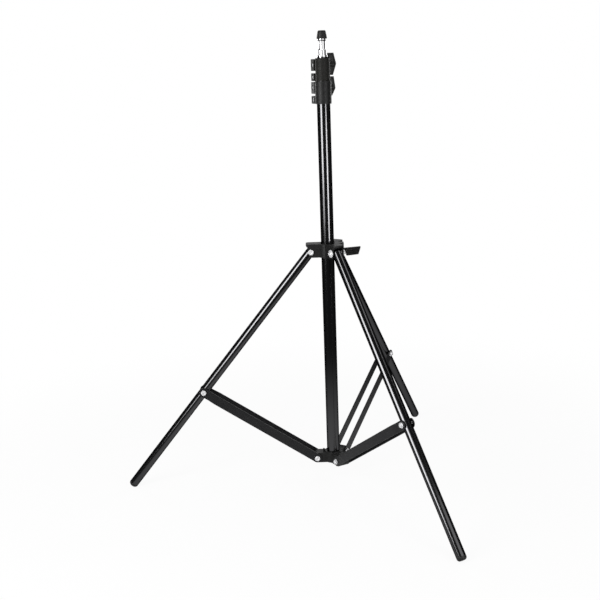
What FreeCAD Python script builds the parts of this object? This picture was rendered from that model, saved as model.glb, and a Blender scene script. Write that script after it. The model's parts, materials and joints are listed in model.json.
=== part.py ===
import FreeCAD, Part
import math
import os
import re
import Sketcher

# Three-section telescopic lighting stand with a folding tripod base.
# Millimetres. The origin is on the floor under the column axis, +Z is up.
# The left leg points along -X; the other two follow at 120 degree steps.

SIZES = {
    # Telescopic tubes
    "lower_tube_od": 25.0,
    "middle_tube_od": 22.0,
    "top_tube_od": 19.0,
    "tube_wall": 1.2,
    "lower_tube_base": 47.5,
    "middle_tube_base": 67.5,
    "top_tube_base": 87.5,
    "guide_insert": 12.0,
    "guide_flange": 4.0,
    "guide_clearance": 0.1,
    # Lock collars
    "lower_collar_base": 752.7,
    "upper_collar_base": 794.2,
    "collar_height": 41.2,
    "lower_collar_od": 30.4,
    "upper_collar_od": 27.2,
    "collar_grip": 20.0,
    "collar_lip": 2.0,
    "collar_split": 2.0,
    "ear_round": 1.2,
    "ear_length": 28.0,
    "ear_depth": 14.0,
    "low_ear_height": 14.2,
    "high_ear_base": 18.4,
    "high_ear_top": 39.8,
    "lower_ear_offset": 19.5,
    "upper_ear_offset": 18.0,
    "fit_gap": 0.05,
    # Knobs of the lock collars
    "lower_wing_rise": 19.8,
    "upper_wing_rise": 21.2,
    "lower_wing_drop": 15.5,
    "upper_wing_drop": 19.3,
    "lower_wing_bend": -2.0,
    "upper_wing_bend": 1.0,
    "wing_thickness": 8.0,
    "wing_round": 2.0,
    "wing_inner": 17.0,
    "lower_wing_tip": 31.6,
    "upper_wing_tip": 33.6,
    "lower_wing_slope": 3.0,
    "upper_wing_slope": 5.0,
    "wing_end_slope": 7.0,
    "wing_bore_end": 25.5,
    "knob_core_radius": 6.5,
    "knob_core_start": 14.6,
    "knob_core_end": 27.0,
    "knob_insert_end": 22.0,
    # Fasteners
    "bolt_radius": 2.5,
    "head_radius": 5.2,
    "head_height": 3.0,
    "hex_radius": 4.6,
    "hex_height": 3.2,
    "nut_flange": 0.9,
    "socket_radius": 2.2,
    "socket_depth": 1.5,
    "bolt_end": 1.6,
    "ear_hex_radius": 4.0,
    "ear_seat_radius": 4.5,
    "pocket_depth": 4.2,
    "end_gap": 0.5,
    # Spigot and its cap
    "spigot_radius": 8.0,
    "spigot_neck_radius": 6.7,
    "spigot_flange_radius": 9.8,
    "spigot_flange_base": 837.4,
    "spigot_land_base": 841.0,
    "spigot_land_top": 850.0,
    "spigot_neck_top": 865.5,
    "spigot_cone_top": 869.6,
    "spigot_shoulder": 875.5,
    "spigot_top": 881.0,
    "stud_radius": 3.1,
    "spigot_plug": 34.0,
    "spigot_pin_drop": 17.0,
    "spigot_pin_radius": 1.5,
    "spigot_edge": 0.8,
    "spigot_cone": 1.5,
    "stud_edge": 0.5,
    "cap_radius": 9.6,
    "cap_top_radius": 7.3,
    "cap_top": 884.7,
    "cap_rim_inset": 0.8,
    "cap_rim_rise": 1.2,
    "cap_rim_top": 2.0,
    "cap_crown_outset": 0.4,
    "cap_crown_drop": 2.6,
    "cap_edge_inset": 1.4,
    "cap_edge_drop": 1.2,
    "cap_roof_gap": 0.8,
    "cap_bore_gap": 0.4,
    "cap_seat_gap": 0.5,
    # Sliding hub
    "hub_pivot_height": 474.7,
    "pivot_radius": 32.5,
    "hub_drop": 10.7,
    "hub_rise": 15.3,
    "hub_barrel_radius": 17.5,
    "hub_half_width": 12.9,
    "hub_slot_half_width": 9.5,
    "hub_slot_start": 20.3,
    "hub_roof": 3.7,
    "hub_chin_inner": 30.5,
    "hub_chin_outer": 36.0,
    "hub_chin_rise": 4.0,
    "hub_cheek_radius": 38.3,
    "hub_cheek_rise": 10.0,
    "hub_lip_radius": 42.0,
    "hub_lip_drop": 4.5,
    "hub_lip_inset": 3.0,
    "hub_lip_slope": 2.0,
    "hub_corner": 5.5,
    "hub_corner_cut": 1.6,
    "hub_skirt": 1.0,
    "hub_mouth_radius": 16.4,
    "hub_mouth_depth": 2.0,
    "hub_nut_flange_radius": 7.4,
    "hub_bush_thickness": 2.0,
    "bush_clearance": 0.1,
    # Clamp knob of the hub
    "hub_knob_drop": 3.2,
    "hub_boss_radius": 7.5,
    "hub_boss_start": 13.0,
    "hub_boss_end": 31.0,
    "hub_screw_radius": 3.0,
    "hub_screw_start": 15.3,
    "hub_screw_hold": 10.0,
    "brake_pad_length": 2.4,
    "hub_nut_start": 31.4,
    "hub_nut_end": 35.2,
    "hub_nut_radius": 4.3,
    "paddle_start": 35.2,
    "paddle_end": 63.5,
    "paddle_height": 15.0,
    "paddle_thickness": 7.0,
    "paddle_slant": 4.5,
    "paddle_tip_rise": 2.0,
    "paddle_edge": 1.0,
    "paddle_heel": 2.0,
    "paddle_round": 1.2,
    "paddle_nut_gap": 0.2,
    "paddle_core": 12.0,
    "paddle_core_radius": 6.5,
    # Bottom collar
    "base_pivot_height": 53.5,
    "base_lug_radius": 10.0,
    "base_ring_radius": 17.0,
    "base_ring_top": 65.5,
    "base_lug_half_width": 11.8,
    "post_offset": 19.0,
    "post_radius": 1.7,
    "post_height": 6.0,
    "post_edge_inset": 0.6,
    "post_edge_drop": 0.8,
    # Legs
    "leg_tube_od": 18.0,
    "leg_top": 4.5,
    "leg_tube_end": 598.5,
    "leg_end": 605.5,
    "leg_to_strut": 353.9,
    "leg_plug_depth": 12.0,
    "leg_plug_rim": 1.0,
    "foot_plug": 18.0,
    "foot_tip_radius": 5.6,
    "foot_tip_rise": 0.5,
    "foot_round_radius": 7.4,
    "foot_round_rise": 1.7,
    "foot_side_radius": 8.5,
    "foot_side_rise": 3.3,
    "foot_shoulder_rise": 5.3,
    "sleeve_radius": 4.0,
    "sleeve_half_length": 9.2,
    # Struts
    "strut_length": 264.7,
    "strip_width": 18.0,
    "strip_thickness": 1.6,
    "strip_gap": 12.1,
    "strip_end_gap": 9.6,
    "joggle_start": 30.0,
    "joggle_end": 16.0,
    "head_gap": 0.3,
    "stub_gap": 9.5,
    # Shared by several pieces
    "arm_root": 5.0,
    "flat_rest": 0.2,
    "cut_margin": 5.0,
    "ground_depth": 50.0,
}

ARMS = {"left": 180.0, "front": 300.0, "rear": 60.0}
EAR_AZIMUTH = 110.0
TINY = 0.01

doc = FreeCAD.newDocument("LightingStand")
sheet = doc.addObject("Spreadsheet::Sheet", "sizes")
for row, (alias, size) in enumerate(SIZES.items(), start=1):
    sheet.set(f"A{row}", alias)
    sheet.set(f"B{row}", str(size))
    sheet.setAlias(f"B{row}", alias)
doc.recompute()

X_AXIS = FreeCAD.Vector(1, 0, 0)
Y_AXIS = FreeCAD.Vector(0, 1, 0)
Z_AXIS = FreeCAD.Vector(0, 0, 1)
sub_parts = []


# ---------------------------------------------------------------- helpers

def qualified(text):
    """Write a formula of sheet aliases as an expression other objects can use."""
    return re.sub(r"[a-z_]+", lambda word: "sizes." + word.group(0) if word.group(0) in SIZES
                  else word.group(0), str(text))


def value(text):
    """The present number of a formula of sheet aliases."""
    return float(doc.sizes.evalExpression(str(text)))


def bind(thing, **formulas):
    """Bind properties of an object to formulas of the sheet."""
    for name, formula in formulas.items():
        thing.setExpression(name, qualified(formula))
    return thing


def keep(label, thing):
    """Name an object as a sub-part that is written out."""
    thing.Label = label
    sub_parts.append(thing)
    return thing


def turn(axis, degrees):
    return FreeCAD.Rotation(axis, degrees)


def new_body(name, placement=None):
    body = doc.addObject("PartDesign::Body", name)
    if placement is not None:
        body.Placement = placement
    return body


def at_height(body, formula):
    body.setExpression("Placement.Base.z", qualified(formula))
    return body


def new_sketch(body, name, role):
    sketch = body.newObject("Sketcher::SketchObject", name)
    plane = next(item for item in body.Origin.OriginFeatures if item.Role == role)
    sketch.AttachmentSupport = [(plane, "")]
    sketch.MapMode = "FlatFace"
    return sketch


def fix_point(sketch, geometry, point, x, y):
    """Tie a point of the sketch to its origin by two formulas."""
    for kind, formula in (("DistanceX", x), ("DistanceY", y)):
        size = value(formula)
        if size >= 0:
            ends, formula = (-1, 1, geometry, point), str(formula)
        else:
            ends, formula = (geometry, point, -1, 1), f"-({formula})"
        number = sketch.addConstraint(Sketcher.Constraint(kind, *ends, abs(size)))
        sketch.setExpression(f"Constraints[{number}]", qualified(formula))


def polygon(sketch, points):
    """A closed outline whose corners are pairs of formulas."""
    corners = [FreeCAD.Vector(value(x), value(y), 0) for x, y in points]
    first = None
    for index, corner in enumerate(corners):
        after = corners[(index + 1) % len(corners)]
        line = sketch.addGeometry(Part.LineSegment(corner, after), False)
        first = line if first is None else first
    count = len(corners)
    for index, (x, y) in enumerate(points):
        line = first + index
        sketch.addConstraint(Sketcher.Constraint(
            "Coincident", line, 2, first + (index + 1) % count, 1))
        fix_point(sketch, line, 1, x, y)


def circle(sketch, radius, x=0, y=0):
    centre = FreeCAD.Vector(value(x), value(y), 0)
    ring = sketch.addGeometry(Part.Circle(centre, Z_AXIS, value(radius)), False)
    fix_point(sketch, ring, 3, x, y)
    number = sketch.addConstraint(Sketcher.Constraint("Radius", ring, value(radius)))
    sketch.setExpression(f"Constraints[{number}]", qualified(radius))


def feature(body, kind, sketch, name, **formulas):
    made = body.newObject("PartDesign::" + kind, name)
    made.Profile = sketch
    bind(made, **formulas)
    return made


def pad(body, sketch, length, both_ways=False, reverse=False):
    made = feature(body, "Pad", sketch, sketch.Name + "_pad", Length=length)
    made.Midplane = both_ways
    made.Reversed = reverse
    return made


def pocket(body, sketch, length, both_ways=False, reverse=False):
    made = feature(body, "Pocket", sketch, sketch.Name + "_cut", Length=length)
    made.Midplane = both_ways
    made.Reversed = reverse
    return made


def revolve(body, sketch):
    """Turn a profile of the XZ plane about the body's Z axis."""
    made = feature(body, "Revolution", sketch, sketch.Name + "_turned")
    made.ReferenceAxis = (sketch, ["V_Axis"])
    made.Angle = 360
    return made


def around(body, features):
    """Repeat features three times about the body's Z axis."""
    pattern = body.newObject("PartDesign::PolarPattern", features[0].Name + "_around")
    pattern.Originals = features
    z_axis = next(item for item in body.Origin.OriginFeatures if item.Role == "Z_Axis")
    pattern.Axis = (z_axis, [""])
    pattern.Angle = 360
    pattern.Occurrences = 3
    body.Tip = pattern
    return pattern


def round_edges(body, base, radius, chosen):
    """Fillet the edges of a feature that a test picks."""
    doc.recompute()
    names = [f"Edge{number}" for number, edge in enumerate(base.Shape.Edges, start=1) if chosen(edge)]
    made = body.newObject("PartDesign::Fillet", base.Name + "_round")
    made.Base = (base, names)
    made.Radius = radius
    return made


def turned_piece(label, points, placement=None):
    """A body turned from a closed profile of (radius, height) pairs."""
    body = new_body(label, placement)
    sketch = new_sketch(body, label + "_profile", "XZ_Plane")
    polygon(sketch, points)
    revolve(body, sketch)
    return keep(label, body)


def ring_piece(label, outer, inner, length, base):
    """A plain tube standing on the Z axis."""
    body = new_body(label)
    sketch = new_sketch(body, label + "_section", "XY_Plane")
    circle(sketch, outer)
    circle(sketch, inner)
    pad(body, sketch, length)
    at_height(body, base)
    return keep(label, body)


def rod(name, radius, length, start, placement):
    """A round bar along the placement's Y axis, from a start on that axis."""
    bar = doc.addObject("Part::Cylinder", name)
    bind(bar, Radius=radius, Height=length)
    along = FreeCAD.Placement(FreeCAD.Vector(0, value(start), 0), turn(X_AXIS, -90))
    bar.Placement = placement.multiply(along)
    return bar


def hexagon(name, radius, length, start, placement):
    """A hexagonal bar along the placement's Y axis."""
    bar = doc.addObject("Part::Prism", name)
    bar.Polygon = 6
    bind(bar, Circumradius=radius, Height=length)
    along = FreeCAD.Placement(FreeCAD.Vector(0, value(start), 0), turn(X_AXIS, -90))
    bar.Placement = placement.multiply(along)
    return bar


def fused(name, shapes):
    joined = doc.addObject("Part::MultiFuse", name)
    joined.Shapes = shapes
    return joined


def cut_from(name, base, tool):
    made = doc.addObject("Part::Cut", name)
    made.Base = base
    made.Tool = tool
    return made


def group(label, pieces):
    """Identical fasteners kept as one node of separate solids."""
    together = doc.addObject("Part::Compound", label)
    together.Links = pieces
    return keep(label, together)


def arm_placement(azimuth, radius, height, tilt):
    """X outwards along the arm, Y across it, then tilted about Y."""
    heading = turn(Z_AXIS, azimuth)
    base = heading.multVec(FreeCAD.Vector(value(radius), 0, 0)) + Z_AXIS * value(height)
    return FreeCAD.Placement(base, heading.multiply(turn(Y_AXIS, tilt)))


# Rest angles of the folding triangle: hub pivot, strut pivot, bottom pivot.
leg_side = value("leg_to_strut")
strut_side = value("strut_length")
column_side = value("hub_pivot_height - base_pivot_height")
leg_tilt = math.degrees(math.acos(
    (leg_side**2 + column_side**2 - strut_side**2) / (2 * leg_side * column_side)))
strut_tilt = math.degrees(math.acos(
    (column_side - leg_side * math.cos(math.radians(leg_tilt))) / strut_side))


# ---------------------------------------------------------------- column

def sliding_tube(prefix, base, top):
    ring_piece(prefix + "_tube", f"{prefix}_tube_od / 2", f"{prefix}_tube_od / 2 - tube_wall",
               f"{top} - {base}", base)


def end_guide(label, prefix, flange_radius, base):
    """A plastic plug pressed in the bottom end of a tube, with a flange below it."""
    inside = f"{prefix}_tube_od / 2 - tube_wall"
    turned_piece(label, [
        ("0", f"{base} - guide_flange"),
        (flange_radius, f"{base} - guide_flange"),
        (flange_radius, base),
        (inside, base),
        (inside, f"{base} + guide_insert"),
        ("0", f"{base} + guide_insert"),
    ])


sliding_tube("lower", "lower_tube_base", "(lower_collar_base + collar_grip)")
sliding_tube("middle", "middle_tube_base", "(upper_collar_base + collar_grip)")
sliding_tube("top", "top_tube_base", "spigot_flange_base")
end_guide("lower_tube_plug", "lower", "lower_tube_od / 2", "lower_tube_base")
end_guide("middle_tube_guide", "middle",
          "lower_tube_od / 2 - tube_wall - guide_clearance", "middle_tube_base")
end_guide("top_tube_guide", "top",
          "middle_tube_od / 2 - tube_wall - guide_clearance", "top_tube_base")


# ---------------------------------------------------------------- lock collars

def lock_collar(prefix, fixed, sliding):
    """A split collar: the lower ear clamps it on the fixed tube, the upper ear on the sliding one."""
    od = f"{prefix}_collar_od"
    base = f"{prefix}_collar_base"
    ear = f"{prefix}_ear_offset"
    frame = FreeCAD.Placement(Z_AXIS * value(base), turn(Z_AXIS, EAR_AZIMUTH))

    body = new_body(prefix + "_lock_collar", frame)
    barrel = new_sketch(body, prefix + "_barrel", "XY_Plane")
    circle(barrel, od + " / 2")
    pad(body, barrel, "collar_height")
    for name, low, high in (("low", "0", "low_ear_height"),
                            ("high", "high_ear_base", "high_ear_top")):
        block = new_sketch(body, f"{prefix}_{name}_ear", "XZ_Plane")
        inner, outer = f"{od} / 3", f"{ear} + ear_depth / 2"
        polygon(block, [(inner, low), (outer, low), (outer, high), (inner, high)])
        last = pad(body, block, "ear_length", both_ways=True)
    outer_corners = value(f"{ear} + ear_depth / 2")
    round_edges(body, last, value("ear_round"), lambda edge: edge.BoundBox.XMin > outer_corners - TINY
                or edge.BoundBox.XLength > value("collar_split") and edge.BoundBox.YLength < TINY)

    bore = new_sketch(body, prefix + "_bore", "XY_Plane")
    circle(bore, f"{fixed}_tube_od / 2")
    pocket(body, bore, "collar_height - collar_lip", reverse=True)
    mouth = new_sketch(body, prefix + "_mouth", "XY_Plane")
    circle(mouth, f"{sliding}_tube_od / 2 + head_gap")
    pocket(body, mouth, "collar_height", reverse=True)
    split = new_sketch(body, prefix + "_split", "XY_Plane")
    reach = f"{ear} + ear_depth"
    half = "collar_split / 2"
    polygon(split, [("0", f"-{half}"), (reach, f"-{half}"), (reach, half), ("0", half)])
    pocket(body, split, "collar_height", reverse=True)
    for name, height in (("low", "low_ear_height / 2"),
                         ("high", "(high_ear_base + high_ear_top) / 2")):
        drilled = new_sketch(body, f"{prefix}_{name}_hole", "XZ_Plane")
        circle(drilled, "bolt_radius", ear, height)
        pocket(body, drilled, "ear_length + cut_margin", both_ways=True)
        for side in (1, -1):
            seat = new_sketch(body, f"{prefix}_{name}_seat_{'a' if side > 0 else 'b'}", "XZ_Plane")
            circle(seat, "ear_seat_radius", ear, height)
            seat.AttachmentOffset = FreeCAD.Placement(
                Z_AXIS * side * value("ear_length / 2 - pocket_depth"), FreeCAD.Rotation())
            pocket(body, seat, "pocket_depth + cut_margin", reverse=side > 0)
    keep(prefix + "_lock_collar", body)

    ring_piece(prefix + "_lock_bush", f"{fixed}_tube_od / 2", f"{sliding}_tube_od / 2 + fit_gap",
               "collar_height - collar_grip - collar_lip", f"{base} + collar_grip")
    low_bolt = frame.multiply(FreeCAD.Placement(
        FreeCAD.Vector(value(ear), 0, value("low_ear_height / 2")), FreeCAD.Rotation()))
    high_bolt = frame.multiply(FreeCAD.Placement(
        FreeCAD.Vector(value(ear), 0, value("(high_ear_base + high_ear_top) / 2")),
        FreeCAD.Rotation()))
    seat_start = "ear_length / 2 - pocket_depth"
    keep(prefix + "_clamp_screw", fused(prefix + "_clamp_screw", [
        hexagon(prefix + "_clamp_head", "ear_hex_radius", "hex_height", seat_start, low_bolt),
        rod(prefix + "_clamp_shank", "bolt_radius", "ear_length - pocket_depth - end_gap",
            "end_gap - ear_length / 2", low_bolt)]))
    nut = hexagon(prefix + "_clamp_hex", "ear_hex_radius", "hex_height",
                  "pocket_depth - hex_height - ear_length / 2", low_bolt)
    hole = rod(prefix + "_clamp_thread", "bolt_radius", "ear_length", "-ear_length", low_bolt)
    keep(prefix + "_clamp_nut", cut_from(prefix + "_clamp_nut", nut, hole))
    keep(prefix + "_lock_bolt", fused(prefix + "_lock_bolt", [
        hexagon(prefix + "_lock_head", "ear_hex_radius", "hex_height", seat_start, high_bolt),
        rod(prefix + "_lock_shank", "bolt_radius", f"{seat_start} + wing_bore_end",
            "-wing_bore_end", high_bolt)]))
    wing_knob(prefix, high_bolt)


def wing_knob(prefix, frame):
    """A two-winged clamp knob that turns on the lock bolt, with a threaded insert in its core."""
    label = prefix + "_lock_knob"
    body = new_body(label, frame)
    wing = new_sketch(body, prefix + "_wing", "YZ_Plane")
    tip, bend = f"{prefix}_wing_tip", f"{prefix}_wing_bend"
    rise, drop = f"{prefix}_wing_rise", f"{prefix}_wing_drop"
    polygon(wing, [
        ("-wing_inner", f"-{drop}"),
        (f"wing_end_slope - {tip}", f"-{drop}"),
        (f"-{tip}", bend),
        (f"{prefix}_wing_slope - {tip}", rise),
        ("-wing_inner", rise),
    ])
    blade = pad(body, wing, "wing_thickness", both_ways=True)
    round_edges(body, blade, value("wing_round"), lambda edge: edge.BoundBox.XLength < TINY)
    core = new_sketch(body, prefix + "_core", "XZ_Plane")
    circle(core, "knob_core_radius")
    core.AttachmentOffset = FreeCAD.Placement(Z_AXIS * value("knob_core_start"), FreeCAD.Rotation())
    pad(body, core, "knob_core_end - knob_core_start")
    bore = new_sketch(body, prefix + "_knob_bore", "XZ_Plane")
    circle(bore, "bolt_radius + fit_gap")
    pocket(body, bore, "wing_bore_end + end_gap", reverse=True)
    seat = new_sketch(body, prefix + "_insert_seat", "XZ_Plane")
    circle(seat, "hex_radius")
    pocket(body, seat, "knob_insert_end", reverse=True)
    keep(label, body)
    insert = rod(prefix + "_insert_blank", "hex_radius", "knob_insert_end - knob_core_start",
                 "-knob_insert_end", frame)
    thread = rod(prefix + "_insert_thread", "bolt_radius + fit_gap", tip, f"-{tip}", frame)
    keep(prefix + "_knob_insert", cut_from(prefix + "_knob_insert", insert, thread))


lock_collar("lower", "lower", "middle")
lock_collar("upper", "middle", "top")


# ---------------------------------------------------------------- spigot and cap

turned_piece("spigot", [
    ("0", "spigot_flange_base - spigot_plug"),
    ("top_tube_od / 2 - tube_wall", "spigot_flange_base - spigot_plug"),
    ("top_tube_od / 2 - tube_wall", "spigot_flange_base"),
    ("spigot_flange_radius", "spigot_flange_base"),
    ("spigot_flange_radius", "spigot_land_base - spigot_edge"),
    ("spigot_flange_radius - spigot_edge", "spigot_land_base"),
    ("spigot_radius", "spigot_land_base"),
    ("spigot_radius", "spigot_land_top"),
    ("spigot_neck_radius", "spigot_land_top + spigot_cone"),
    ("spigot_neck_radius", "spigot_neck_top"),
    ("spigot_radius", "spigot_cone_top - spigot_cone"),
    ("spigot_radius", "spigot_shoulder"),
    ("stud_radius", "spigot_shoulder"),
    ("stud_radius", "spigot_top - stud_edge"),
    ("stud_radius - stud_edge", "spigot_top"),
    ("0", "spigot_top"),
])
turned_piece("spigot_cap", [
    ("spigot_radius + fit_gap", "spigot_cone_top"),
    ("cap_radius - cap_rim_inset", "spigot_cone_top"),
    ("cap_radius", "spigot_cone_top + cap_rim_rise"),
    ("cap_radius", "spigot_cone_top + cap_rim_top"),
    ("cap_top_radius + cap_crown_outset", "cap_top - cap_crown_drop"),
    ("cap_top_radius", "cap_top - cap_edge_drop"),
    ("cap_top_radius - cap_edge_inset", "cap_top"),
    ("0", "cap_top"),
    ("0", "spigot_top + cap_roof_gap"),
    ("stud_radius + cap_bore_gap", "spigot_top + cap_roof_gap"),
    ("stud_radius + cap_bore_gap", "spigot_shoulder + cap_seat_gap"),
    ("spigot_radius + fit_gap", "spigot_shoulder + cap_seat_gap"),
])
pin_frame = FreeCAD.Placement(Z_AXIS * value("spigot_flange_base - spigot_pin_drop"),
                              turn(Z_AXIS, EAR_AZIMUTH))
keep("spigot_pin", rod("spigot_pin", "spigot_pin_radius", "top_tube_od - end_gap * 2",
                       "end_gap - top_tube_od / 2", pin_frame))


def drill(label, frame, radius, length):
    """Replace a sub-part by itself with a cross hole along the frame's Y axis."""
    base = next(item for item in sub_parts if item.Label == label)
    sub_parts.remove(base)
    base.Label = label + "_blank"
    hole = rod(label + "_hole", radius, length, f"-({length}) / 2", frame)
    keep(label, cut_from(label + "_drilled", base, hole))


drill("spigot", pin_frame, "spigot_pin_radius", "top_tube_od - end_gap * 2")
drill("top_tube", pin_frame, "spigot_pin_radius", "top_tube_od + cut_margin")


# ---------------------------------------------------------------- sliding hub

def pivot_bolt(name, frame, head_at, nut_at):
    """A bolt along Y with a round socket head on +Y and room for a nut on -Y."""
    end = f"{nut_at} + hex_height + bolt_end"
    blank = fused(name + "_blank", [
        rod(name + "_shank", "bolt_radius", f"{head_at} + {end}", f"-({end})", frame),
        rod(name + "_head", "head_radius", "head_height", head_at, frame)])
    socket = hexagon(name + "_socket", "socket_radius", "head_height",
                     f"{head_at} + head_height - socket_depth", frame)
    return cut_from(name, blank, socket)


def flange_nut(name, frame, nut_at, flange_radius="head_radius"):
    """A flanged hexagon nut whose bearing face looks to +Y."""
    blank = fused(name + "_blank", [
        rod(name + "_flange", flange_radius, "nut_flange", f"-({nut_at} + nut_flange)", frame),
        hexagon(name + "_hex", "hex_radius", "hex_height", f"-({nut_at} + hex_height)", frame)])
    thread = rod(name + "_thread", "bolt_radius", "hex_height + cut_margin * 2",
                 f"-({nut_at} + hex_height + cut_margin)", frame)
    return cut_from(name, blank, thread)


def make_hub():
    """The moulded hub: a barrel and three slotted arms with rounded lips for the legs."""
    body = new_body("hub", FreeCAD.Placement(Z_AXIS * value("hub_pivot_height"),
                                             turn(Z_AXIS, ARMS["rear"])))
    barrel = new_sketch(body, "hub_barrel", "XY_Plane")
    barrel.AttachmentOffset = FreeCAD.Placement(
        Z_AXIS * value("-hub_drop - hub_skirt"), FreeCAD.Rotation())
    circle(barrel, "hub_barrel_radius")
    pad(body, barrel, "hub_drop + hub_rise + hub_skirt")
    arm = new_sketch(body, "hub_arm", "XZ_Plane")
    polygon(arm, [
        ("arm_root", "-hub_drop"),
        ("hub_chin_inner", "-hub_drop"),
        ("hub_chin_outer", "hub_chin_rise - hub_drop"),
        ("hub_cheek_radius", "hub_cheek_rise - hub_drop"),
        ("hub_lip_radius - hub_lip_inset", "hub_rise - hub_lip_drop - hub_lip_slope"),
        ("hub_lip_radius", "hub_rise - hub_lip_drop"),
        ("hub_lip_radius", "hub_rise"),
        ("arm_root", "hub_rise"),
    ])
    arm_pad = pad(body, arm, "hub_half_width * 2", both_ways=True)
    around(body, [arm_pad])
    corner_cuts = []
    for side, sign in (("left", 1), ("right", -1)):
        corner = new_sketch(body, f"hub_{side}_corner", "XY_Plane")
        outline = [
            ("hub_lip_radius + cut_margin", "hub_half_width - hub_corner"),
            ("hub_lip_radius + cut_margin", "hub_half_width + cut_margin"),
            ("hub_lip_radius - hub_corner", "hub_half_width + cut_margin"),
            ("hub_lip_radius - hub_corner", "hub_half_width"),
            ("hub_lip_radius - hub_corner_cut", "hub_half_width - hub_corner_cut"),
            ("hub_lip_radius", "hub_half_width - hub_corner"),
        ]
        if sign < 0:
            outline = [(x, f"-({y})") for x, y in reversed(outline)]
        polygon(corner, outline)
        corner_cuts.append(pocket(body, corner, "(hub_rise + hub_drop) * 2", both_ways=True))
    around(body, corner_cuts)
    slot = new_sketch(body, "hub_slot", "XZ_Plane")
    polygon(slot, [
        ("hub_slot_start", "-hub_drop - cut_margin"),
        ("hub_lip_radius + cut_margin", "-hub_drop - cut_margin"),
        ("hub_lip_radius + cut_margin", "hub_rise - hub_roof"),
        ("hub_slot_start", "hub_rise - hub_roof"),
    ])
    slot_cut = pocket(body, slot, "hub_slot_half_width * 2", both_ways=True)
    around(body, [slot_cut])
    hole = new_sketch(body, "hub_bolt_hole", "XZ_Plane")
    circle(hole, "bolt_radius", "pivot_radius", "0")
    hole_cut = pocket(body, hole, "hub_half_width * 2 + cut_margin", both_ways=True)
    around(body, [hole_cut])
    return body


hub_blank = make_hub()
knob_frame = FreeCAD.Placement(Z_AXIS * value("hub_pivot_height - hub_knob_drop"), turn(Z_AXIS, -90))
hub_boss = doc.addObject("Part::Box", "hub_boss")
bind(hub_boss, Length="hub_boss_end - hub_boss_start", Width="hub_boss_radius * 2",
     Height="hub_drop + hub_rise")
hub_boss.setExpression("Placement.Base.x", qualified("hub_boss_start"))
hub_boss.setExpression("Placement.Base.y", qualified("-hub_boss_radius"))
hub_boss.setExpression("Placement.Base.z", qualified("hub_pivot_height - hub_drop"))
hub_with_boss = fused("hub_with_boss", [hub_blank, hub_boss])
hub_bore = doc.addObject("Part::Cylinder", "hub_bore")
bind(hub_bore, Radius="lower_tube_od / 2 + bush_clearance + hub_bush_thickness",
     Height="hub_drop + hub_rise + cut_margin * 2")
hub_bore.setExpression("Placement.Base.z", qualified("hub_pivot_height - hub_drop - cut_margin"))
hub_mouth = doc.addObject("Part::Cone", "hub_mouth")
bind(hub_mouth, Radius1="lower_tube_od / 2 + bush_clearance + hub_bush_thickness",
     Radius2="hub_mouth_radius", Height="hub_mouth_depth")
hub_mouth.setExpression("Placement.Base.z", qualified("hub_pivot_height + hub_rise - hub_mouth_depth"))
hub_openings = fused("hub_openings", [
    hub_bore, hub_mouth,
    rod("hub_screw_hole", "hub_screw_radius + fit_gap", "hub_boss_end + cut_margin", "0", knob_frame)])
keep("hub_body", cut_from("hub_body", hub_with_boss, hub_openings))

ring_piece("hub_bush", "lower_tube_od / 2 + bush_clearance + hub_bush_thickness",
           "lower_tube_od / 2 + bush_clearance", "hub_drop + hub_rise - hub_mouth_depth * 2",
           "hub_pivot_height - hub_drop")
bush_wall = knob_frame.multiply(FreeCAD.Placement(
    Y_AXIS * value("lower_tube_od / 2 + hub_bush_thickness"), FreeCAD.Rotation()))
drill("hub_bush", bush_wall, "hub_screw_radius + fit_gap", "hub_bush_thickness * 2 + cut_margin")
keep("brake_pad", rod("brake_pad", "hub_screw_radius", "brake_pad_length",
                      "lower_tube_od / 2 + head_gap", knob_frame))

keep("hub_knob_screw", rod("hub_knob_screw", "hub_screw_radius",
                           "paddle_start + hub_screw_hold - hub_screw_start",
                           "hub_screw_start", knob_frame))
lock_nut = hexagon("hub_nut_hex", "hub_nut_radius", "hub_nut_end - hub_nut_start", "hub_nut_start",
                   knob_frame)
nut_thread = rod("hub_nut_thread", "hub_screw_radius", "hub_nut_end - hub_nut_start + cut_margin * 2",
                 "hub_nut_start - cut_margin", knob_frame)
keep("hub_knob_nut", cut_from("hub_knob_nut", lock_nut, nut_thread))


def make_paddle():
    """The flat grip of the hub clamp: its outer end is cut on the slant, and a tongue covers the nut."""
    body = new_body("hub_knob", knob_frame)
    outline = new_sketch(body, "paddle_outline", "YZ_Plane")
    half = "paddle_height / 2"
    polygon(outline, [
        ("paddle_start", f"paddle_edge - {half}"),
        ("paddle_start + paddle_heel", f"-{half}"),
        ("paddle_end - paddle_slant", f"paddle_tip_rise - {half}"),
        ("paddle_end", f"{half} + paddle_tip_rise - paddle_edge"),
        ("paddle_end - paddle_edge", f"{half} + paddle_tip_rise"),
        ("hub_nut_start", half),
        ("hub_nut_start", "hub_nut_radius + paddle_nut_gap"),
        ("paddle_start", "hub_nut_radius + paddle_nut_gap"),
    ])
    blade = pad(body, outline, "paddle_thickness", both_ways=True)
    round_edges(body, blade, value("paddle_round"), lambda edge: edge.BoundBox.XLength < TINY
                and edge.BoundBox.YMax > value("paddle_start + paddle_edge"))
    hub = new_sketch(body, "paddle_core", "XZ_Plane")
    circle(hub, "paddle_core_radius")
    hub.AttachmentOffset = FreeCAD.Placement(Z_AXIS * value("-paddle_start"), FreeCAD.Rotation())
    pad(body, hub, "paddle_core", reverse=True)
    bore = new_sketch(body, "paddle_bore", "XZ_Plane")
    circle(bore, "hub_screw_radius")
    pocket(body, bore, "paddle_start + hub_screw_hold")
    return keep("hub_knob", body)


make_paddle()


# ---------------------------------------------------------------- bottom collar

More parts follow.
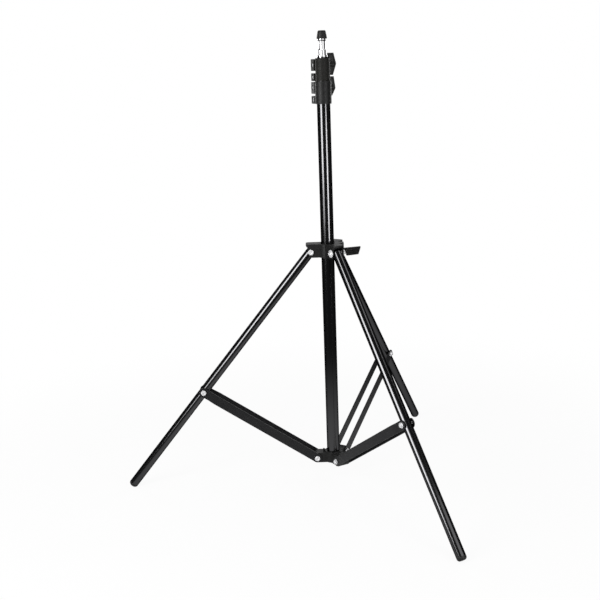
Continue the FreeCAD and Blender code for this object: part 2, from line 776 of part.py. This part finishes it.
def make_bottom_collar():
    """The moulded foot of the column: a ring with three solid lugs for the struts."""
    body = new_body("bottom_collar", FreeCAD.Placement(Z_AXIS * value("base_pivot_height"),
                                                       turn(Z_AXIS, ARMS["rear"])))
    ring = new_sketch(body, "base_ring", "XY_Plane")
    circle(ring, "base_ring_radius")
    ring.AttachmentOffset = FreeCAD.Placement(Z_AXIS * value("-base_lug_radius"), FreeCAD.Rotation())
    pad(body, ring, "base_ring_top - base_pivot_height + base_lug_radius")
    lug = new_sketch(body, "base_lug", "XZ_Plane")
    polygon(lug, [
        ("arm_root", "-base_lug_radius"),
        ("pivot_radius + base_lug_radius", "-base_lug_radius"),
        ("pivot_radius + base_lug_radius", "base_lug_radius"),
        ("arm_root", "base_lug_radius"),
    ])
    lug_pad = pad(body, lug, "base_lug_half_width * 2", both_ways=True)
    tip = value("pivot_radius + base_lug_radius")
    around(body, [lug_pad])
    doc.recompute()
    rounded = round_edges(
        body, body.Tip, value("base_lug_radius - flat_rest"),
        lambda edge: abs(math.hypot(edge.CenterOfMass.x, edge.CenterOfMass.y) - tip) < TINY
        and edge.BoundBox.ZLength < TINY)
    body.Tip = rounded
    bore = new_sketch(body, "base_bore", "XY_Plane")
    circle(bore, "lower_tube_od / 2")
    pocket(body, bore, "base_lug_radius * 4 + cut_margin", both_ways=True)
    hole = new_sketch(body, "base_bolt_hole", "XZ_Plane")
    circle(hole, "bolt_radius", "pivot_radius", "0")
    hole_cut = pocket(body, hole, "base_lug_half_width * 2 + cut_margin", both_ways=True)
    around(body, [hole_cut])
    return keep("bottom_collar", body)


make_bottom_collar()
turned_piece("bottom_collar_post", [
    ("0", "0"), ("post_radius", "0"), ("post_radius", "post_height - post_edge_drop"),
    ("post_radius - post_edge_inset", "post_height"), ("0", "post_height"),
], FreeCAD.Placement(FreeCAD.Vector(value("-post_offset"), 0,
                                    value("base_pivot_height + base_lug_radius")),
                     FreeCAD.Rotation()))


# ---------------------------------------------------------------- legs and struts

def make_leg(side, azimuth):
    """One leg. In its own frame the hub pivot is the origin and the leg runs along -Z."""
    frame = arm_placement(azimuth, "pivot_radius", "hub_pivot_height", -leg_tilt)
    strut_joint = frame.multiply(FreeCAD.Placement(Z_AXIS * -leg_side, FreeCAD.Rotation()))
    inside = "leg_tube_od / 2 - tube_wall"

    tube = new_body(side + "_leg_tube", frame)
    section = new_sketch(tube, side + "_leg_section", "XY_Plane")
    circle(section, "leg_tube_od / 2")
    circle(section, inside)
    section.AttachmentOffset = FreeCAD.Placement(Z_AXIS * value("-leg_tube_end"), FreeCAD.Rotation())
    pad(tube, section, "leg_tube_end + leg_top")
    crossing = new_sketch(tube, side + "_leg_holes", "XZ_Plane")
    circle(crossing, "sleeve_radius", "0", "0")
    circle(crossing, "sleeve_radius", "0", "-leg_to_strut")
    pocket(tube, crossing, "leg_tube_od + cut_margin", both_ways=True)
    keep(side + "_leg_tube", tube)

    turned_piece(side + "_leg_plug", [
        ("0", "-leg_plug_depth"), (inside, "-leg_plug_depth"), (inside, "leg_top"),
        ("leg_tube_od / 2", "leg_top"), ("leg_tube_od / 2", "leg_top + leg_plug_rim"),
        ("leg_tube_od / 2 - leg_plug_rim", "leg_top + leg_plug_rim * 2"),
        ("0", "leg_top + leg_plug_rim * 2"),
    ], frame)
    drill(side + "_leg_plug", frame, "sleeve_radius", "leg_tube_od + cut_margin")

    sleeves = []
    for name, place in (("hub", frame), ("strut", strut_joint)):
        sleeve = rod(f"{side}_{name}_sleeve_blank", "sleeve_radius", "sleeve_half_length * 2",
                     "-sleeve_half_length", place)
        bore = rod(f"{side}_{name}_sleeve_bore", "bolt_radius + fit_gap",
                   "(sleeve_half_length + cut_margin) * 2", "-sleeve_half_length - cut_margin", place)
        sleeves.append(cut_from(f"{side}_{name}_sleeve", sleeve, bore))
    group(side + "_leg_sleeves", sleeves)

    boot = turned_piece(side + "_foot", [
        ("0", "-leg_end"), ("foot_tip_radius", "foot_tip_rise - leg_end"),
        ("foot_round_radius", "foot_round_rise - leg_end"),
        ("foot_side_radius", "foot_side_rise - leg_end"),
        ("leg_tube_od / 2", "foot_shoulder_rise - leg_end"),
        ("leg_tube_od / 2", "-leg_tube_end"), (inside, "-leg_tube_end"),
        (inside, "foot_plug - leg_tube_end"), ("0", "foot_plug - leg_tube_end"),
    ], frame)
    sub_parts.remove(boot)
    boot.Label = side + "_foot_blank"
    ground = doc.addObject("Part::Box", side + "_ground")
    bind(ground, Length="leg_end * 2", Width="leg_end * 2", Height="ground_depth")
    ground.Placement = FreeCAD.Placement(
        FreeCAD.Vector(value("-leg_end"), value("-leg_end"), value("-ground_depth")), FreeCAD.Rotation())
    keep(side + "_foot", cut_from(side + "_foot_cut", boot, ground))


def strip(side, number, frame, sign):
    """One flat strip of a strut. It steps in beside the leg, and both its ends are round."""
    label = f"{side}_strut_strip_{number}"
    body = new_body(label, frame)
    edge_on = new_sketch(body, label + "_edge", "YZ_Plane")
    inner, outer = "strip_gap", "strip_gap + strip_thickness"
    end_inner, end_outer = "strip_end_gap", "strip_end_gap + strip_thickness"
    low, high = "-strip_width / 2", "strut_length + strip_width / 2"
    first, last = "strut_length - joggle_start", "strut_length - joggle_end"
    outline = [
        (inner, low), (outer, low), (outer, first), (end_outer, last),
        (end_outer, high), (end_inner, high), (end_inner, last), (inner, first),
    ]
    if sign < 0:
        outline = [(f"-({y})", z) for y, z in reversed(outline)]
    polygon(edge_on, outline)
    plate = pad(body, edge_on, "strip_width", both_ways=True)
    bottom, top = value(low), value(high)
    round_edges(body, plate, value("strip_width / 2 - flat_rest"),
                lambda edge: edge.BoundBox.ZLength < TINY and edge.BoundBox.XLength < TINY
                and (edge.BoundBox.ZMin > top - TINY or edge.BoundBox.ZMax < bottom + TINY))
    holes = new_sketch(body, label + "_holes", "XZ_Plane")
    circle(holes, "bolt_radius + fit_gap", "0", "0")
    circle(holes, "bolt_radius + fit_gap", "0", "strut_length")
    pocket(body, holes, "(strip_gap + strip_thickness) * 2 + cut_margin", both_ways=True)
    keep(label, body)


def make_strut(side, azimuth):
    """A pair of strips, and the two halves of the bolt that would pin them to the leg."""
    frame = arm_placement(azimuth, "pivot_radius", "base_pivot_height", strut_tilt)
    upper = frame.multiply(FreeCAD.Placement(Z_AXIS * strut_side, FreeCAD.Rotation()))
    strip(side, 1, frame, 1)
    strip(side, 2, frame, -1)
    bolt = pivot_bolt(side + "_strut_bolt_whole", upper, "strip_end_gap + strip_thickness",
                      "strip_end_gap + strip_thickness")
    middle = rod(side + "_strut_bolt_middle", "head_radius", "stub_gap * 2", "-stub_gap", upper)
    keep(side + "_strut_bolt", cut_from(side + "_strut_bolt", bolt, middle))
    keep(side + "_strut_nut", flange_nut(side + "_strut_nut", upper, "strip_end_gap + strip_thickness"))


for side, azimuth in ARMS.items():
    make_leg(side, azimuth)
    make_strut(side, azimuth)

for label, height, face, flange in (
        ("hub_pivot", "hub_pivot_height", "hub_half_width", "hub_nut_flange_radius"),
        ("base_pivot", "base_pivot_height", "strip_gap + strip_thickness + head_gap", "head_radius")):
    frames = {side: arm_placement(azimuth, "pivot_radius", height, 0)
              for side, azimuth in ARMS.items()}
    group(label + "_bolts", [pivot_bolt(f"{side}_{label}_bolt", frame, face, face)
                             for side, frame in frames.items()])
    group(label + "_nuts", [flange_nut(f"{side}_{label}_nut", frame, face, flange)
                            for side, frame in frames.items()])


# ---------------------------------------------------------------- checks and export

doc.recompute()
for thing in doc.Objects:
    if "Invalid" in thing.State or "Error" in thing.State:
        raise RuntimeError(f"{thing.Name} ({thing.Label}) is {thing.State}")
os.makedirs("parts", exist_ok=True)
for thing in sub_parts:
    shape = thing.Shape
    if shape.isNull() or not shape.isValid() or not shape.Solids:
        raise RuntimeError(f"{thing.Label} has no valid solid")
    shape.exportStep(f"parts/{thing.Label}.step")
    print(f"{thing.Label:24s} {len(shape.Solids)} solid(s) {shape.Volume / 1000:9.2f} cm3")
print(f"leg tilt {leg_tilt:.3f}, strut tilt {strut_tilt:.3f}, sub-parts {len(sub_parts)}")
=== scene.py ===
import json
import math

import bmesh
import bpy
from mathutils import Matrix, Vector


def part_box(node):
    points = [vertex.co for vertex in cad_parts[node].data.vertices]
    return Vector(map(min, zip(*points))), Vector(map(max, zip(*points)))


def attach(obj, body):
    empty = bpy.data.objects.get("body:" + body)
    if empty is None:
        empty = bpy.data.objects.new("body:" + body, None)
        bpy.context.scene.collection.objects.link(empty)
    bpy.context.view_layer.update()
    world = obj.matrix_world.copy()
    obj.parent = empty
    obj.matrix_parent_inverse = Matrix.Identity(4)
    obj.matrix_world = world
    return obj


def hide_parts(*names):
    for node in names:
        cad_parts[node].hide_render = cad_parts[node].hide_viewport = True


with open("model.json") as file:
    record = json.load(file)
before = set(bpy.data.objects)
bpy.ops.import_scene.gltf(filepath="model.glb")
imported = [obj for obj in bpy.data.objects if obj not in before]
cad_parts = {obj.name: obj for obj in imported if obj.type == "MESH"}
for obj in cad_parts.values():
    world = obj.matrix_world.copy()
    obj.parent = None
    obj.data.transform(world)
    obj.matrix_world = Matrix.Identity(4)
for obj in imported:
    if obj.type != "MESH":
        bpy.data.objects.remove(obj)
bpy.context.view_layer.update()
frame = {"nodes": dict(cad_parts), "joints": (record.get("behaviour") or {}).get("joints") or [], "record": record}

BODY_OF = {node: body for body, nodes in frame["record"]["behaviour"]["bodies"].items()
           for node in nodes}
SLOT_OF = {part["node"]: part["material_slot"] for part in frame["record"]["subparts"]}
JOINTS = {joint["name"]: joint for joint in frame["joints"]}
LEGS = ("left", "front", "rear")

# ---------------------------------------------------------------- shader helpers

# Nearly all of a noise lies between these two values.
NOISE_REACH = (0.3, 0.7)


def new_material(name, colour, metallic, roughness, **sockets):
    """A Principled material whose even values sit on the shader itself."""
    material = bpy.data.materials.new(name)
    material.use_nodes = True
    inputs = material.node_tree.nodes["Principled BSDF"].inputs
    inputs["Base Color"].default_value = (*colour, 1)
    inputs["Metallic"].default_value = metallic
    inputs["Roughness"].default_value = roughness
    for socket, value in sockets.items():
        inputs[socket.replace("_", " ")].default_value = value
    return material


def add(tree, kind, **settings):
    """A new shader node, with those of its settings that aren't the usual ones."""
    node = tree.nodes.new("ShaderNode" + kind)
    for name, value in settings.items():
        setattr(node, name, value)
    return node


def link_to_shader(tree, output, name):
    tree.links.new(output, tree.nodes["Principled BSDF"].inputs[name])


def mapped(tree, value, source, target, interpolation="LINEAR"):
    """Carry a value from one range of numbers to another."""
    node = add(tree, "MapRange", interpolation_type=interpolation)
    for name, number in zip(("From Min", "From Max", "To Min", "To Max"), (*source, *target)):
        node.inputs[name].default_value = number
    tree.links.new(value, node.inputs["Value"])
    return node.outputs["Result"]


def joined(tree, operation, first, second):
    """A Math node of two outputs."""
    node = add(tree, "Math", operation=operation)
    for socket, output in zip(node.inputs, (first, second)):
        tree.links.new(output, socket)
    return node.outputs[0]


def noise(tree, scale, detail, stretch=(1, 1, 1), turn=(0, 0, 0)):
    """Noise in the piece's own metres, so that it moves with the piece."""
    place = add(tree, "TexCoord")
    aimed = add(tree, "Mapping", vector_type="TEXTURE")
    aimed.inputs["Rotation"].default_value = turn
    stretched = add(tree, "Mapping")
    stretched.inputs["Scale"].default_value = stretch
    texture = add(tree, "TexNoise")
    texture.inputs["Scale"].default_value = scale
    texture.inputs["Detail"].default_value = detail
    tree.links.new(place.outputs["Object"], aimed.inputs["Vector"])
    tree.links.new(aimed.outputs["Vector"], stretched.inputs["Vector"])
    tree.links.new(stretched.outputs["Vector"], texture.inputs["Vector"])
    return texture.outputs["Fac"]


def vary_colour(tree, factor, dark, light):
    """Blend the base colour between two colours by a noise."""
    node = add(tree, "Mix", data_type="RGBA")
    colours = [item for item in node.inputs if item.type == "RGBA"]
    for item, colour in zip(colours, (dark, light)):
        item.default_value = (*colour, 1)
    tree.links.new(mapped(tree, factor, NOISE_REACH, (0, 1)), node.inputs["Factor"])
    result = next(item for item in node.outputs if item.type == "RGBA")
    link_to_shader(tree, result, "Base Color")


def vary_roughness(tree, factor, low, high):
    link_to_shader(tree, mapped(tree, factor, NOISE_REACH, (low, high)), "Roughness")


def add_grain(tree, factor, depth):
    """Bump of a depth in metres."""
    bump = add(tree, "Bump")
    bump.inputs["Distance"].default_value = depth
    tree.links.new(factor, bump.inputs["Height"])
    link_to_shader(tree, bump.outputs["Normal"], "Normal")


def textured(material, shades, shade_noise, shines, shine_noise, depth, grain_noise):
    """Let a material's shade and shine drift over a fine grain. Each noise is (scale, detail)."""
    tree = material.node_tree
    vary_colour(tree, noise(tree, *shade_noise), *shades)
    vary_roughness(tree, noise(tree, *shine_noise), *shines)
    add_grain(tree, noise(tree, *grain_noise), depth)
    return material


# ---------------------------------------------------------------- materials


def drawn_tube(name, turn):
    """Glossy black anodising over faint draw lines that run along the tube."""
    material = new_material(name, (0.092, 0.092, 0.095), metallic=1.0, roughness=0.13,
                            Specular_Tint=(0, 0, 0, 1))
    tree = material.node_tree
    lines = noise(tree, scale=900, detail=2, stretch=(1, 1, 0.01), turn=turn)
    vary_colour(tree, lines, dark=(0.088, 0.088, 0.091), light=(0.096, 0.096, 0.099))
    polish = noise(tree, scale=160, detail=3, stretch=(1, 1, 0.05), turn=turn)
    vary_roughness(tree, polish, low=0.13, high=0.16)
    add_grain(tree, lines, depth=0.0000002)
    return material


def moulded_plastic(name, dark, light, roughness, specular):
    """Plastic from a spark-eroded mould."""
    material = new_material(name, light, metallic=0.0, roughness=roughness, Specular_IOR_Level=specular)
    return textured(material, shades=(dark, light), shade_noise=(90, 3),
                    shines=(roughness - 0.04, roughness + 0.05), shine_noise=(240, 3),
                    depth=0.00003, grain_noise=(1900, 4))


def painted_steel(name):
    """Satin black paint with a slight orange peel."""
    material = new_material(name, (0.010, 0.010, 0.011), metallic=0.0, roughness=0.42,
                            Specular_IOR_Level=0.3)
    return textured(material, shades=((0.008, 0.008, 0.009), (0.011, 0.011, 0.012)),
                    shade_noise=(60, 3), shines=(0.38, 0.46), shine_noise=(180, 3),
                    depth=0.00002, grain_noise=(620, 3))


def plated_steel(name, dark, light, roughness, metallic=1.0):
    """Plated steel: slightly clouded, with fine turning marks."""
    material = new_material(name, light, metallic, roughness)
    return textured(material, shades=(dark, light), shade_noise=(350, 4),
                    shines=(roughness - 0.05, roughness + 0.08), shine_noise=(700, 3),
                    depth=0.000004, grain_noise=(2600, 2))


def soft_rubber(name):
    """Matte black rubber with dust-fine grain."""
    light = (0.012, 0.012, 0.012)
    material = new_material(name, light, metallic=0.0, roughness=0.5, Specular_IOR_Level=0.35)
    return textured(material, shades=((0.008, 0.008, 0.008), light), shade_noise=(140, 4),
                    shines=(0.45, 0.58), shine_noise=(300, 3), depth=0.00004, grain_noise=(1400, 4))


def along(leg):
    """The Euler turn that lays a texture's Z along a leg."""
    low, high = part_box(leg + "_foot")
    axis = (low + high) / 2 - Vector(JOINTS[leg + "_leg_fold"]["pos_m"])
    return axis.to_track_quat("Z", "X").to_euler()


FINISHES = {
    "column_tube": drawn_tube("black_anodised_column", turn=(0, 0, 0)),
    "moulded_black": moulded_plastic("moulded_black", (0.007, 0.007, 0.007), (0.010, 0.010, 0.010),
                                     roughness=0.48, specular=0.28),
    "knob_black": moulded_plastic("knob_black", (0.005, 0.005, 0.005), (0.008, 0.008, 0.008),
                                  roughness=0.42, specular=0.28),
    "nylon": moulded_plastic("nylon", (0.024, 0.024, 0.025), (0.032, 0.032, 0.033),
                             roughness=0.5, specular=0.5),
    "strut_steel": painted_steel("strut_paint"),
    "zinc_steel": plated_steel("zinc_plate", (0.74, 0.74, 0.75), (0.86, 0.86, 0.87),
                               roughness=0.36, metallic=0.35),
    "black_steel": plated_steel("black_oxide", (0.015, 0.015, 0.016), (0.025, 0.025, 0.027),
                                roughness=0.4),
    "bright_chrome": plated_steel("chrome_plate", (0.80, 0.80, 0.81), (0.86, 0.86, 0.87),
                                  roughness=0.07),
    "cap_black": soft_rubber("cap_black"),
    "foot_rubber": soft_rubber("foot_rubber"),
}
EAR_SCREWS = [prefix + name for prefix in ("lower", "upper")
              for name in ("_clamp_screw", "_clamp_nut", "_lock_bolt")]
# A darker copy of the zinc plate, rougher and less metallic, for the screws sunk in the ears' pockets. Its
# darkness is painted shade of the pockets.
ZINC_WITH_PAINTED_SHADE = plated_steel("zinc_with_painted_shade", (0.30, 0.30, 0.31), (0.46, 0.46, 0.47),
                         roughness=0.45, metallic=0.6)
# A darker, rougher copy of the moulded black for the upper collar. Its darkness is painted shade, and its warm
# tint is a painted reflection.
BLACK_WITH_PAINTED_SHADE = moulded_plastic("moulded_black_painted_shade", (0.0085, 0.0080, 0.0068), (0.0110, 0.0104, 0.0090),
                             roughness=0.58, specular=0.22)

# Pieces whose finish isn't the one that their material slot has elsewhere. The ear screws and the upper collar get
# darker copies whose darkness is painted shade.
OWN_FINISHES = {
    **dict.fromkeys(EAR_SCREWS, ZINC_WITH_PAINTED_SHADE),
    "upper_lock_collar": BLACK_WITH_PAINTED_SHADE,
    **{leg + "_leg_tube": drawn_tube("black_anodised_" + leg, along(leg)) for leg in LEGS},
}


def finish_of(node):
    return OWN_FINISHES.get(node) or FINISHES[SLOT_OF[node]]


for node, piece in frame["nodes"].items():
    piece.data.materials.clear()
    piece.data.materials.append(finish_of(node))

# ---------------------------------------------------------------- pieces with softened edges

# Widths of the rounded edges, and the sunk panels of the knobs' blades, in metres.
MOULDING_EDGE = 0.0006
COLLAR_EDGE = 0.0009
BLADE_EDGE = 0.0005
BLADE_RIM = 0.0014
BLADE_SUNK = 0.0007
SCREW_EDGE = 0.0009
NUT_EDGE = 0.0003
STRIP_EDGE = 0.0003

EDGE_SEGMENTS = 2
ROUND_HEAD_SEGMENTS = 3
ROUND_PROFILE = 0.5

# Points nearer than this are one point, and faces nearer than this to a plane lie in it.
SAME_POINT = 0.000002
SAME_PLANE = 0.00002
# The least cosine between the normals of parallel faces.
PARALLEL = 0.999
# Angles between faces: one flat side below the first, a rounded edge above the second, and
# a crease in the shading above the third.
FLAT_ANGLE = math.radians(0.5)
EDGE_ANGLE = math.radians(25)
CREASE_ANGLE = math.radians(50)


def broad_sides(shape):
    """The two broad flat sides of a blade, each joined into one face."""
    largest = max(shape.faces, key=lambda face: face.calc_area())
    across = largest.normal.copy()
    opposite = max((face for face in shape.faces if face.normal.dot(across) < -PARALLEL),
                   key=lambda face: face.calc_area())
    sides = []
    for plane in [across.dot(face.calc_center_median()) for face in (largest, opposite)]:
        patch = [face for face in shape.faces if abs(face.normal.dot(across)) > PARALLEL
                 and abs(across.dot(face.calc_center_median()) - plane) < SAME_PLANE]
        sides += bmesh.ops.dissolve_faces(shape, faces=patch, use_verts=False)["region"]
    return sides


def sink_panels(shape):
    """Sink the broad sides of a blade: a flat rim, and then a slope down to the panel."""
    panels = broad_sides(shape)
    for thickness, sunk in ((BLADE_RIM, 0), (BLADE_SUNK, BLADE_SUNK)):
        bmesh.ops.inset_individual(shape, faces=panels, thickness=thickness, depth=-sunk,
                                   use_even_offset=False)


def round_edges(shape, width, segments):
    """Round the edges that the piece really has, and not the seams of its curved faces."""
    sharp = [edge for edge in shape.edges
             if len(edge.link_faces) == 2 and edge.calc_face_angle() > EDGE_ANGLE]
    bmesh.ops.bevel(shape, geom=sharp, offset=width, segments=segments, profile=ROUND_PROFILE,
                    affect="EDGES", clamp_overlap=True)


def refined(node, width, segments=EDGE_SEGMENTS, sunk_panels=False):
    """A copy of a CAD node with rounded edges, which stands for the node on the same body."""
    shape = bmesh.new()
    shape.from_mesh(frame["nodes"][node].data)
    bmesh.ops.remove_doubles(shape, verts=shape.verts, dist=SAME_POINT)
    bmesh.ops.dissolve_limit(shape, angle_limit=FLAT_ANGLE, verts=shape.verts, edges=shape.edges)
    if sunk_panels:
        sink_panels(shape)
    round_edges(shape, width, segments)
    for face in shape.faces:
        face.smooth = True
    mesh = bpy.data.meshes.new(node + "_finished")
    shape.to_mesh(mesh)
    shape.free()
    mesh.set_sharp_from_angle(angle=CREASE_ANGLE)
    mesh.materials.append(finish_of(node))
    piece = bpy.data.objects.new(node + "_finished", mesh)
    bpy.context.scene.collection.objects.link(piece)
    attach(piece, BODY_OF[node])
    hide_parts(node)
    piece.modifiers.new("even_shading", "WEIGHTED_NORMAL").keep_sharp = True


for name in ("hub_body", "bottom_collar"):
    refined(name, MOULDING_EDGE)
for name in ("lower_lock_collar", "upper_lock_collar"):
    refined(name, COLLAR_EDGE)
for name in ("lower_lock_knob", "upper_lock_knob", "hub_knob"):
    refined(name, BLADE_EDGE, sunk_panels=True)
for name in EAR_SCREWS:
    refined(name, SCREW_EDGE)
for name in ("hub_pivot_bolts", "base_pivot_bolts"):
    refined(name, SCREW_EDGE, ROUND_HEAD_SEGMENTS)
for name in ("hub_pivot_nuts", "base_pivot_nuts"):
    refined(name, NUT_EDGE)
for leg in LEGS:
    refined(leg + "_strut_bolt", SCREW_EDGE, ROUND_HEAD_SEGMENTS)
    refined(leg + "_strut_nut", NUT_EDGE)
    for number in (1, 2):
        refined(f"{leg}_strut_strip_{number}", STRIP_EDGE)

# ---------------------------------------------------------------- floor and world

FLOOR_RADIUS = 6.0
FLOOR_SIDES = 96
FLOOR_DROP = 0.0005
FLOOR_SHADE = (0.88, 0.88, 0.88)
# Radii over which the shadow fades out, and the shadow's share of what the camera sees.
SHADOW_EDGE = (0.4, 1.2)
SHADOW_SHARE = 0.07
# Radii over which the sheet darkens in a reflection, and its brightness there, near and far.
SHEET_EDGE = (0.15, 0.95)
SHEET_LEVELS = (0.62, 0.05)
# How far a direction points to the back, over which the backdrop starts in a reflection.
BACKDROP_EDGE = (0.7, 0.95)
AMBIENT = 0.06


def smooth_step(tree, value, source, target):
    return mapped(tree, value, source, target, interpolation="SMOOTHSTEP")


def seen_straight(tree, path):
    """1 where the camera looks at a surface, or at it through glass."""
    return joined(tree, "MAXIMUM", path.outputs["Is Camera Ray"], path.outputs["Is Transmission Ray"])


def make_floor():
    """A white sheet under the stand. To the camera it is white up to the horizon, apart from the shadow."""
    bpy.ops.mesh.primitive_circle_add(vertices=FLOOR_SIDES, radius=FLOOR_RADIUS, fill_type="NGON",
                                      location=(0, 0, -FLOOR_DROP))
    floor = bpy.context.object
    floor.name = "floor"
    material = new_material("floor", FLOOR_SHADE, metallic=0.0, roughness=1.0, Specular_IOR_Level=0.0)
    tree = material.node_tree
    place = add(tree, "TexCoord")
    distance = add(tree, "VectorMath", operation="LENGTH")
    tree.links.new(place.outputs["Object"], distance.inputs[0])
    radius = distance.outputs["Value"]
    path = add(tree, "LightPath")
    seen = seen_straight(tree, path)
    glossy = path.outputs["Is Glossy Ray"]
    white = smooth_step(tree, radius, SHADOW_EDGE, (1 - SHADOW_SHARE, 1))
    share = joined(tree, "MAXIMUM", joined(tree, "MULTIPLY", seen, white), glossy)
    sheet = smooth_step(tree, radius, SHEET_EDGE, SHEET_LEVELS)
    strength = joined(tree, "MAXIMUM", seen, joined(tree, "MULTIPLY", glossy, sheet))
    glow = add(tree, "Emission")
    mix = add(tree, "MixShader")
    tree.links.new(strength, glow.inputs["Strength"])
    tree.links.new(share, mix.inputs["Fac"])
    tree.links.new(tree.nodes["Principled BSDF"].outputs[0], mix.inputs[1])
    tree.links.new(glow.outputs[0], mix.inputs[2])
    tree.links.new(mix.outputs[0], tree.nodes["Material Output"].inputs["Surface"])
    floor.data.materials.append(material)


def make_world():
    """White to the camera and dim elsewhere, with a white backdrop behind the stand in reflections."""
    world = bpy.data.worlds.new("studio")
    bpy.context.scene.world = world
    world.use_nodes = True
    tree = world.node_tree
    background = tree.nodes["Background"]
    background.inputs["Color"].default_value = (1, 1, 1, 1)
    path = add(tree, "LightPath")
    direction = add(tree, "TexCoord")
    split = add(tree, "SeparateXYZ")
    tree.links.new(direction.outputs["Generated"], split.inputs[0])
    backdrop = smooth_step(tree, split.outputs["Y"], BACKDROP_EDGE, (0, 1))
    mirrored = joined(tree, "MULTIPLY", path.outputs["Is Glossy Ray"], backdrop)
    white = joined(tree, "MAXIMUM", seen_straight(tree, path), mirrored)
    level = smooth_step(tree, white, (0, 1), (AMBIENT, 1))
    tree.links.new(level, background.inputs["Strength"])


make_floor()
make_world()

# ---------------------------------------------------------------- lamps


def softbox(name, azimuth, distance, bottom, top, width, radiance, aim_height, shape="RECTANGLE"):
    """A soft light that faces the column; azimuth is in degrees from straight in front, to the right.

    radiance is how bright its face looks, where white paper is about 1. The rest is in metres.
    """
    light = bpy.data.lights.new(name, "AREA")
    light.shape = shape
    light.size = width
    light.size_y = top - bottom
    area = width * light.size_y * (math.pi / 4 if shape == "ELLIPSE" else 1)
    light.energy = radiance * math.pi * area
    lamp = bpy.data.objects.new(name, light)
    bpy.context.scene.collection.objects.link(lamp)
    turn = math.radians(azimuth)
    lamp.location = (distance * math.sin(turn), -distance * math.cos(turn), (bottom + top) / 2)
    aim = Vector((0, 0, aim_height)) - lamp.location
    lamp.rotation_euler = aim.to_track_quat("-Z", "Y").to_euler()


LEFT = -46.5
NEAR = 1.5
FAR = 2.0

softbox("left_softbox", azimuth=LEFT, distance=NEAR, bottom=0.42, top=1.15, width=0.68,
        radiance=9.6, aim_height=0.7)
softbox("left_lower_softbox", azimuth=LEFT, distance=NEAR, bottom=0.28, top=0.42, width=0.68,
        radiance=3.8, aim_height=0.7)
softbox("left_card", azimuth=-25, distance=NEAR, bottom=0.80, top=1.25, width=0.36,
        radiance=1.2, aim_height=0.9)
softbox("left_upper_softbox", azimuth=LEFT, distance=NEAR, bottom=1.17, top=1.70, width=0.45,
        radiance=7.9, aim_height=0.9)
softbox("right_softbox", azimuth=34.5, distance=NEAR, bottom=0.16, top=0.71, width=0.50,
        radiance=10.5, aim_height=0.45, shape="ELLIPSE")
softbox("right_card", azimuth=33, distance=NEAR, bottom=0.80, top=1.25, width=1.40,
        radiance=1.2, aim_height=0.9)
softbox("high_right_softbox", azimuth=100, distance=NEAR, bottom=1.70, top=2.40, width=2.20,
        radiance=2.0, aim_height=0.4)
for name, azimuth in (("back_left_softbox", -140), ("back_right_softbox", 140)):
    softbox(name, azimuth, distance=FAR, bottom=0.5, top=1.4, width=0.7, radiance=3.5, aim_height=0.5)
softbox("top_softbox", azimuth=0, distance=0.01, bottom=2.0, top=3.0, width=1.2,
        radiance=2.0, aim_height=0.0)

# ---------------------------------------------------------------- camera

CAMERA_PLACE = (-0.0409, -1.8957, 0.8359)
CAMERA_TURN = (76.431, 1.959, 0.005)
CAMERA_LENS = 60.03
CAMERA_SENSOR = 36

camera = bpy.data.objects.new("camera", bpy.data.cameras.new("camera"))
camera.data.lens = CAMERA_LENS
camera.data.sensor_width = CAMERA_SENSOR
camera.location = CAMERA_PLACE
camera.rotation_euler = [math.radians(angle) for angle in CAMERA_TURN]
bpy.context.scene.collection.objects.link(camera)
bpy.context.scene.camera = camera
bpy.context.scene.view_settings.view_transform = "Standard"
